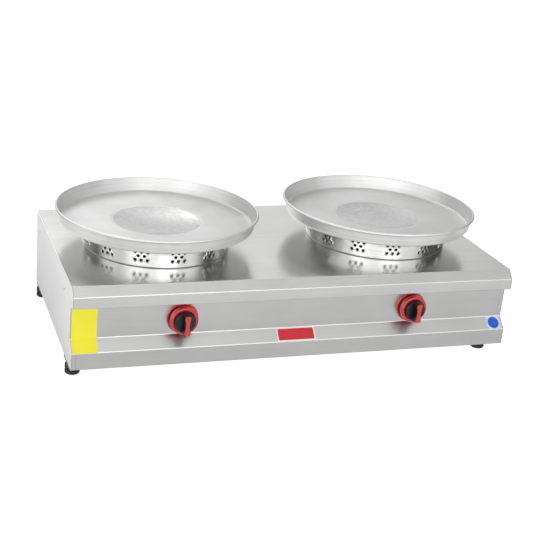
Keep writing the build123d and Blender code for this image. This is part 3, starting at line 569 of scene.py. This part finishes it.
def arc(centre, radius, start, stop, count):
    """Points on an arc, angles in degrees from the outward direction."""
    angle = np.radians(np.linspace(start, stop, count))
    return np.stack([centre[0] + radius * np.cos(angle), centre[1] + radius * np.sin(angle)], 1)


def pan_outline(base, height):
    """Underside from the middle outwards, round the bead, and back along the inside. The dish is
    an arc through its edge and its lowest point, and the wall leans from the floor to the bead."""
    bow = (dish_radius ** 2 + dish_depth ** 2) / (2 * dish_depth)
    out = np.linspace(0, dish_radius, 28)
    dish = np.stack([out, -dish_depth + bow - np.sqrt(bow ** 2 - out ** 2)], 1)
    bead_at = (pan_radius - bead, height - bead)
    lean = math.atan2(bead_at[0] - pan_sheet / 2 - wall_lean_from, height - bead)
    foot = np.array([floor_radius, foot_corner])
    outside = arc(foot, foot_corner, -90, -math.degrees(lean), 9)
    inside = arc(foot, foot_corner - pan_sheet, -math.degrees(lean), -90, 7)
    steps = np.linspace(0, 1, 7)[1:-1, None]
    top_out = np.array([bead_at[0] - bead * 0.6, bead_at[1] - bead * 0.8])
    top_in = np.array([bead_at[0] - bead, bead_at[1]])
    wall_out = outside[-1] + (top_out - outside[-1]) * steps
    wall_in = top_in + (inside[0] - top_in) * steps
    roll = arc(bead_at, bead, -127, 180, 22)
    floor = np.linspace(floor_radius, dish_radius, 14)[1:-1]
    underside = np.stack([floor[::-1], np.zeros(len(floor))], 1)
    upper = np.stack([floor, np.full(len(floor), pan_sheet)], 1)
    top_dish = dish[::-1] + (0.0, pan_sheet)
    outline = np.concatenate([dish, underside, outside, wall_out, roll, wall_in, inside, upper, top_dish])
    return outline + (0.0, base)


def shade_painted_on_pan(tree, out, groove):
    """Painted shade: a dark line in the groove under the bead, on the outside only, and a thin
    darkening of the floor along the foot of the wall. out is the distance from the pan's axis."""
    level = parts_of(tree, object_vector(tree))["Z"]
    line = use_group(tree, fold_line, Value=level, Level=groove, Half_width=0.0016)
    outer_skin = span_in(tree, out, *wall_outside, 0.0, 0.8)
    under_bead = math_in(tree, "MULTIPLY", line.outputs["Mask"], outer_skin)
    near_wall = span_in(tree, out, *floor_near_wall, 0.0, 0.18)
    on_floor = span_in(tree, out, *end_of_floor, 1.0, 0.0)
    return math_in(tree, "MAXIMUM", under_bead, math_in(tree, "MULTIPLY", near_wall, on_floor))


def spun_aluminium(name, centre, groove):
    """Satin aluminium with the fine rings of spinning, which are noise that depends only on the
    distance from the axis, laid over cloudy marks. The dish is beaten in, so it is smoother and
    has small shallow dents that stop at its edge; its colour is darkened, most in the hollows of
    the dents, as painted shade. The bend from floor to wall is rougher."""
    material, tree, shader = bare_material(name, (0.75, 0.75, 0.745), metallic=0.56, roughness=0.34)
    out = distance_from(tree, centre)
    spread = tree.nodes.new("ShaderNodeCombineXYZ")
    tree.links.new(math_in(tree, "MULTIPLY", out, 900.0), spread.inputs["X"])
    rings = use_group(tree, brushing, Vector=spread.outputs["Vector"])
    marks = use_group(tree, handling, Vector=object_vector(tree))
    mixed = math_in(tree, "ADD", math_in(tree, "MULTIPLY", rings.outputs["Scratch"], 0.5),
                    math_in(tree, "MULTIPLY", marks.outputs["Cloud"], 0.5))
    dents = noise_in(tree, object_vector(tree), scale=110.0, detail=1.0)
    beaten = span_in(tree, out, dish_radius - 0.004, dish_radius, 1.0, 0.0)
    dent_painted_shade = math_in(tree, "MULTIPLY", beaten, span_in(tree, dents, 0.3, 0.7, 0.26, 0.10))
    # Painted shade: the hollows of the dents, the groove under the bead and the floor at the foot of the wall
    # are darkened towards a dark grey.
    pan_painted_shade = math_in(tree, "MAXIMUM", dent_painted_shade, shade_painted_on_pan(tree, out, groove))
    clean = span_in(tree, mixed, 0.35, 0.65, 0.0, 1.0)
    satin = shade_between(tree, clean, (0.69, 0.69, 0.685), (0.81, 0.81, 0.805))
    tree.links.new(shade_between(tree, pan_painted_shade, satin, (0.22, 0.22, 0.22)), shader.inputs["Base Color"])
    bend = use_group(tree, fold_line, Value=out, Level=floor_radius + 0.002, Half_width=0.004)
    rough = math_in(tree, "ADD", span_in(tree, mixed, 0.3, 0.7, 0.32, 0.4),
                    math_in(tree, "MULTIPLY", bend.outputs["Mask"], 0.25))
    rough = math_in(tree, "SUBTRACT", rough, math_in(tree, "MULTIPLY", beaten, 0.12))
    tree.links.new(rough, shader.inputs["Roughness"])
    dented = math_in(tree, "MULTIPLY", math_in(tree, "MULTIPLY", dents, beaten), 12.0)
    relief = math_in(tree, "ADD", dented, rings.outputs["Scratch"])
    raise_by(tree, shader, relief, depth=0.00006, strength=0.4)
    return material


for side in ("left", "right"):
    low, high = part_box(f"pan_{side}")
    ring_low, ring_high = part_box(f"ring_{side}")
    centre = (ring_low + ring_high) / 2
    pan = spun(f"spun_pan_{side}", pan_outline(ring_high.z, high.z - ring_high.z), centre, segments=224)
    pan.data.materials.append(spun_aluminium(f"spun aluminium {side}", centre, high.z - groove_drop))
    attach(pan, f"pan_{side}")
    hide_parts(f"pan_{side}")

# Knobs
# Moulded in glossy red: a round bezel against the panel and a skirt. The cap is black, with a
# raised grip across it and a red bar let into the grip's face.
cap_seat = 0.0238
cap_recess = 0.002
skirt_round = 0.0036
skirt_lip = 0.0009
skirt_wall = 0.0025
skirt_face = 0.0045
hub_radius = 0.008
hub_step = 0.001
bezel_round = 0.0014
bezel_bore = 0.01


def moulded(name, color, roughness, coat):
    """Glossy moulded plastic, with the faint waviness of its surface and a few dull marks."""
    material, tree, shader = bare_material(name, color, metallic=0.0, roughness=roughness)
    vector = object_vector(tree)
    marks = use_group(tree, handling, Vector=vector)
    dull = [c * 0.9 for c in color]
    tree.links.new(shade_between(tree, marks.outputs["Cloud"], dull, color), shader.inputs["Base Color"])
    tree.links.new(span_in(tree, marks.outputs["Cloud"], 0.35, 0.75, roughness, roughness + 0.1),
                   shader.inputs["Roughness"])
    shader.inputs["Coat Weight"].default_value = coat
    shader.inputs["Coat Roughness"].default_value = 0.08
    waves = noise_in(tree, vector, scale=60.0, detail=2.0)
    raise_by(tree, shader, waves, depth=0.0002, strength=0.15)
    return material


knob_red = moulded("knob red", (0.52, 0.011, 0.010), roughness=0.12, coat=0.9)
pointer_red = moulded("pointer red", (0.52, 0.045, 0.028), roughness=0.22, coat=0.3)
knob_black = moulded("knob black", (0.004, 0.005, 0.010), roughness=0.3, coat=0.0)
dress(pointer_red, "knob_pointer_left", "knob_pointer_right")
dress(knob_black, "knob_cap_left", "knob_cap_right")


def turned_forward(name, profile, x, y, z):
    """A closed outline of radius and distance out, carried round an axis that points out of the
    front."""
    piece = spun(name, profile, (0.0, 0.0), segments=128)
    piece.data.transform(Matrix.Translation((x, y, z)) @ Matrix.Rotation(math.radians(90), 4, "X"))
    return piece


def skirt_outline(rim, back, front):
    """The skirt: a face recessed for the cap, a rounded edge, and a hollow back with a hub, as
    straight lines joined by arcs."""
    return np.concatenate([
        [(0.0, front - cap_recess), (cap_seat, front - cap_recess)],
        arc((cap_seat + skirt_lip, front - skirt_lip), skirt_lip, 180, 90, 6),
        arc((rim - skirt_round, front - skirt_round), skirt_round, 90, 0, 14),
        arc((rim - skirt_lip, back + skirt_lip), skirt_lip, 0, -90, 6),
        [(rim - skirt_wall, back), (rim - skirt_wall, front - skirt_face), (hub_radius, front - skirt_face),
         (hub_radius, back + hub_step), (0.0, back + hub_step)],
    ])


def bezel_outline(rim, thick):
    """The bezel: a flat ring, whose outer edge in front is a quarter of a circle."""
    return np.concatenate([
        [(bezel_bore, 0.0), (rim, 0.0)],
        arc((rim - bezel_round, thick - bezel_round), bezel_round, 0, 90, 8),
        [(bezel_bore, thick), (bezel_bore, 0.0)],
    ])


for side in ("left", "right"):
    low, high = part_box(f"bezel_{side}")
    x, z = (low.x + high.x) / 2, (low.z + high.z) / 2
    face = high.y
    skirt_low, skirt_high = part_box(f"knob_skirt_{side}")
    skirt = skirt_outline((skirt_high.x - skirt_low.x) / 2, face - skirt_high.y, face - skirt_low.y)
    bezel = bezel_outline((high.x - low.x) / 2, high.y - low.y)
    for name, outline, carrier in (("knob_skirt", skirt, f"knob_{side}"), ("bezel", bezel, "stove_body")):
        piece = turned_forward(f"{name}_round_{side}", outline, x, face, z)
        piece.data.materials.append(knob_red)
        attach(piece, carrier)
        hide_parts(f"{name}_{side}")

# Feet
# Each is a disc, a neck and a hexagon in one moulding of black plastic, slightly grained, on a
# steel stud that screws into its bracket.
foot_black = moulded("foot black", (0.02, 0.02, 0.021), roughness=0.5, coat=0.0)
dress(foot_black, "foot_front_left", "foot_front_right", "foot_rear_left", "foot_rear_right")

# Stickers
# Printed films: a yellow strip down the left end of the front, a red plate with a white border on
# the slope and a pale square with a blue disc at the right. All are plain.


def printed_film(name, color):
    """Film of nearly one colour under a satin varnish."""
    return moulded(name, color, roughness=0.4, coat=0.15)


panel_y = body_low.y + panel_setback
slope_length = (slope_top - slope_foot) * math.sqrt(2)
film = 0.0003
nudge = 0.00001


def front_place(x, down, lift):
    """Points on the folded front, raised off it by the lift: x, and the distance down its surface
    from the upper fold, which runs upright, then down the slope, then upright again."""
    slope = np.clip(down, 0.0, slope_length)
    below = np.maximum(down - slope_length, 0.0)
    above = np.minimum(down, 0.0)
    y = panel_y - slope / math.sqrt(2)
    z = slope_top - above - slope / math.sqrt(2) - below
    tilt = np.where((down > 0) & (down < slope_length), math.sqrt(0.5), 0.0)
    return np.stack([x, y - lift * np.where(tilt > 0, tilt, 1.0), z + lift * tilt], -1).reshape(-1, 3)


def film_piece(name, points, faces, material):
    """A thin printed film on the front."""
    piece = mesh_from(name, points, faces)
    piece.data.materials.append(material)
    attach(piece, "stove_body")


def strip_on_front(name, x0, x1, top, foot, lift, material):
    """A film that runs down over the folds, with a row of points just inside each fold."""
    folds = [0.0, nudge, slope_length - nudge, slope_length]
    down = np.unique(np.concatenate([np.linspace(top, foot, 25), folds]))
    across, along = np.meshgrid(np.linspace(x0, x1, 5), down)
    film_piece(name, front_place(across, along, lift), grid_faces(len(down), 5), material)


def plate_on_slope(name, centre_x, half_x, half_down, corner, lift, material):
    """A flat film in the middle of the slope, with rounded corners: rings that grow from its
    centre to its edge."""
    turn = np.linspace(0.01, 2 * np.pi + 0.01, 97)
    side_x, side_down = np.sign(np.cos(turn)), np.sign(np.sin(turn))
    x = side_x * (half_x - corner) + corner * np.cos(turn)
    down = side_down * (half_down - corner) + corner * np.sin(turn)
    grow = np.linspace(0, 1, 5)[:, None]
    points = front_place(centre_x + grow * x, slope_length / 2 + grow * down, lift)
    film_piece(name, points, grid_faces(len(grow), len(turn)), material)


yellow = printed_film("yellow film", (0.86, 0.80, 0.045))
red = printed_film("red film", (0.56, 0.02, 0.032))
white = printed_film("white film", (0.82, 0.78, 0.78))
pale = printed_film("pale film", (0.60, 0.70, 0.82))
blue = printed_film("blue film", (0.015, 0.10, 0.56))
badge_x = -0.009
mark_x = 0.477
strip_on_front("yellow_strip", x0=-0.497, x1=-0.444, top=-0.0665, foot=slope_length - 0.0008,
               lift=film, material=yellow)
plate_on_slope("plate_border", badge_x, half_x=0.044, half_down=0.0162, corner=0.003,
               lift=film, material=white)
plate_on_slope("plate_red", badge_x, half_x=0.041, half_down=0.0130, corner=0.002,
               lift=2 * film, material=red)
plate_on_slope("pale_square", mark_x, half_x=0.0165, half_down=0.0155, corner=0.001,
               lift=film, material=pale)
plate_on_slope("blue_disc", mark_x, half_x=0.0138, half_down=0.0138, corner=0.0138,
               lift=2 * film, material=blue)

# Studio
# A white floor that mirrors as grey paper, lit from high on the left and from low in front, in a
# surround whose patches show only in reflections. The camera looks down from the front left.
floor_reach = 30.0
floor_mesh = bpy.data.meshes.new("floor")
corners = [(x * floor_reach, y * floor_reach, 0) for x, y in ((-1, -1), (1, -1), (1, 1), (-1, 1))]
floor_mesh.from_pydata(corners, [], [(0, 1, 2, 3)])
floor = bpy.data.objects.new("floor", floor_mesh)
bpy.context.scene.collection.objects.link(floor)

# The paper glows a little for the camera, so that it is white, and in reflections, where it is
# brighter far in front and beside the left end
paper, tree, shader = bare_material("studio floor", (0.66, 0.66, 0.66), metallic=0.0, roughness=0.9)
path = tree.nodes.new("ShaderNodeLightPath")
glow = tree.nodes.new("ShaderNodeEmission")
ground = parts_of(tree, object_vector(tree))
reflected = math_in(tree, "ADD", span_in(tree, ground["Y"], -0.45, -1.1, 0.30, 0.50),
                    span_in(tree, ground["X"], -0.5, -0.75, 0.0, 0.4))
mirrored = math_in(tree, "MULTIPLY", path.outputs["Is Glossy Ray"], reflected)
shown = math_in(tree, "MULTIPLY", path.outputs["Is Camera Ray"], 0.86)
tree.links.new(math_in(tree, "ADD", mirrored, shown), glow.inputs["Strength"])
both = tree.nodes.new("ShaderNodeAddShader")
tree.links.new(shader.outputs[0], both.inputs[0])
tree.links.new(glow.outputs[0], both.inputs[1])
tree.links.new(both.outputs[0], tree.nodes["Material Output"].inputs["Surface"])
floor_mesh.materials.append(paper)

# The surround is white to the camera, an even grey as light, and in reflections a grey sky with
# brighter and darker patches. x, y and z are directions, and across runs to the camera's right.
world = bpy.data.worlds.new("studio")
bpy.context.scene.world = world
world.use_nodes = True
tree = world.node_tree
backdrop = tree.nodes["Background"]
backdrop.inputs["Color"].default_value = (1.0, 1.0, 1.0, 1.0)
path = tree.nodes.new("ShaderNodeLightPath")
place = tree.nodes.new("ShaderNodeTexCoord")
direction = parts_of(tree, place.outputs["Generated"])
x, y, z = direction["X"], direction["Y"], direction["Z"]
across = math_in(tree, "ADD", math_in(tree, "MULTIPLY", x, 0.945), math_in(tree, "MULTIPLY", y, -0.326))


def patch_of_sky(*edges):
    """The product of soft edges, each a direction, the two values that it changes between, and
    what it changes from and to."""
    patch = 1.0
    for edge in edges:
        patch = math_in(tree, "MULTIPLY", patch, span_in(tree, *edge))
    return patch


# Behind the stove: a little brighter all over, and more so high up, most of all on the left, which
# the dishes and the walls of the pans mirror
behind = patch_of_sky((y, 0.4, 0.9, 0.0, 1.0))
high_behind = patch_of_sky((z, 0.4, 0.48, 0.0, 1.0), (z, 0.52, 0.66, 1.0, 0.3), (y, 0.3, 0.6, 0.0, 1.0),
                           (across, 0.12, -0.12, 0.0, 1.0))
left_behind = patch_of_sky((across, -0.12, -0.22, 0.0, 1.0), (z, 0.36, 0.42, 0.0, 1.0),
                           (y, 0.0, 0.3, 0.0, 1.0), (across, -0.45, -0.65, 1.0, 0.0))

# In front: a window that the rings mirror, the room under it, and the left corner for the pans
window = patch_of_sky((z, 0.22, 0.34, 0.0, 1.0), (z, 0.72, 0.84, 1.0, 0.0), (y, -0.3, -0.45, 0.0, 1.0),
                      (x, -0.2, 0.0, 0.0, 1.0), (x, 0.22, 0.42, 1.0, 0.2))
room = patch_of_sky((y, -0.35, -0.7, 0.0, 1.0), (z, 0.75, 0.45, 0.0, 1.0))
left_corner = patch_of_sky((x, -0.35, -0.7, 0.0, 1.0), (z, 0.24, 0.42, 1.0, 0.0), (y, 0.45, 0.1, 0.0, 1.0))

# Overhead it brightens to the left, and low down at both sides it is darker
overhead = patch_of_sky((x, -0.1, 0.6, 1.0, 0.0), (z, 0.5, 0.95, 0.0, 1.0))
far_left = patch_of_sky((across, -0.45, -0.75, 0.0, 1.0), (y, 0.1, 0.35, 0.0, 1.0))
flanks = math_in(tree, "ADD", span_in(tree, across, 0.14, 0.42, 0.0, 1.0), far_left)
flanks = math_in(tree, "MULTIPLY", flanks, span_in(tree, z, 0.35, 0.75, 1.0, 0.0))

sky = 0.66
levels = ((window, 1.3), (left_corner, 1.1), (high_behind, 1.0), (overhead, 0.38), (behind, 0.2),
          (room, 1.0), (flanks, -0.6), (left_behind, 1.8))
for patch, strength in levels:
    sky = math_in(tree, "ADD", sky, math_in(tree, "MULTIPLY", patch, strength))
haze = patch_of_sky((z, 0.02, 0.16, 0.65, 0.0), (y, -0.2, 0.3, 0.0, 1.0))
sky = math_in(tree, "MULTIPLY", sky, math_in(tree, "SUBTRACT", 1.0, haze))
even_light = 0.34
extra = math_in(tree, "MULTIPLY", path.outputs["Is Glossy Ray"], math_in(tree, "SUBTRACT", sky, even_light))
level = math_in(tree, "MAXIMUM", math_in(tree, "ADD", extra, even_light), path.outputs["Is Camera Ray"])
tree.links.new(level, backdrop.inputs["Strength"])


stove_middle = Vector((0, 0, 0.2))


def softbox(name, place, power):
    """A square lamp that faces the middle of the stove and is left out of reflections."""
    lamp = bpy.data.lights.new(name, "AREA")
    lamp.size = 1.4
    lamp.energy = power
    holder = bpy.data.objects.new(name, lamp)
    bpy.context.scene.collection.objects.link(holder)
    holder.location = place
    holder.rotation_euler = (stove_middle - Vector(place)).to_track_quat("-Z", "Y").to_euler()
    holder.visible_glossy = False


softbox("key lamp", place=(-2.4, -1.2, 3.2), power=25)
softbox("front lamp", place=(0.2, -3.7, 0.75), power=85)

# The camera is turned by its heading, its pitch and its roll. Its focal length and the shift of
# its picture are in pixels of a square picture.
picture = 550
focal_length = 1111.52
shift_x, shift_y = 38, -10
heading, pitch, roll = math.radians(19.266), math.radians(20.807), math.radians(4.994)
foot_height = 0.032
front_edge = top_low.y + chamfer_drop
eye_place = (-0.86859, front_edge - 2.04074, foot_height + 1.03377)
ahead = Vector((math.sin(heading) * math.cos(pitch), math.cos(heading) * math.cos(pitch), -math.sin(pitch)))
right = Vector((math.cos(heading), -math.sin(heading), 0))
above = right.cross(ahead)
tilted = math.cos(roll) * right + math.sin(roll) * above
upper = -math.sin(roll) * right + math.cos(roll) * above
turn = Matrix((tilted, upper, -ahead)).transposed().to_4x4()
eye = bpy.data.cameras.new("camera")
eye.sensor_width = 36.0
eye.lens = focal_length / picture * eye.sensor_width
eye.shift_x = shift_x / picture
eye.shift_y = shift_y / picture
eye.clip_end = 200.0
camera = bpy.data.objects.new("camera", eye)
bpy.context.scene.collection.objects.link(camera)
camera.matrix_world = Matrix.Translation(eye_place) @ turn
bpy.context.scene.camera = camera
bpy.context.scene.view_settings.view_transform = "Standard"
